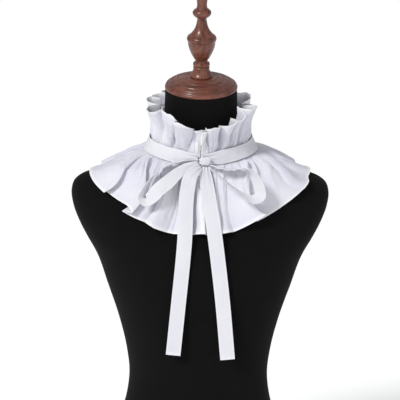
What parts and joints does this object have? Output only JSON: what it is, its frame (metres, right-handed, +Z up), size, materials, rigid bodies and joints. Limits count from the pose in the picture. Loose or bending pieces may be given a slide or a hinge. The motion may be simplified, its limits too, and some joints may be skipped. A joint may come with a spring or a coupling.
{
  "type": "ruffled collar on a dress form",
  "caption": "White cotton collar with a standing neck ruffle, a gathered shoulder flounce and a ribbon bow, shown on a black limbless dress form with a turned wooden cap and finial.",
  "frame": {"origin": "on the floor, in the middle of the dress form's flat base", "axes": "+Z up; the front, with the bow, faces -Y; +X is the viewer's right, the wearer's left"},
  "size_m": [0.3986, 0.2339, 0.7989],
  "materials": {
    "form_cloth": "matt black jersey",
    "wood": "satin varnish, red-brown",
    "cotton": "matt white cotton lawn",
    "ribbon": "soft white taffeta ribbon"
  },
  "bodies": {
    "root": {"form_torso": "form_cloth", "neck_cap": "wood", "finial": "wood", "flounce": "cotton", "stand_ruffle": "cotton", "tie_band": "ribbon", "bow_knot": "ribbon", "bow_loop_left": "ribbon", "bow_loop_right": "ribbon", "ribbon_tail_left": "ribbon", "ribbon_tail_right": "ribbon"}
  },
  "joints": []
}
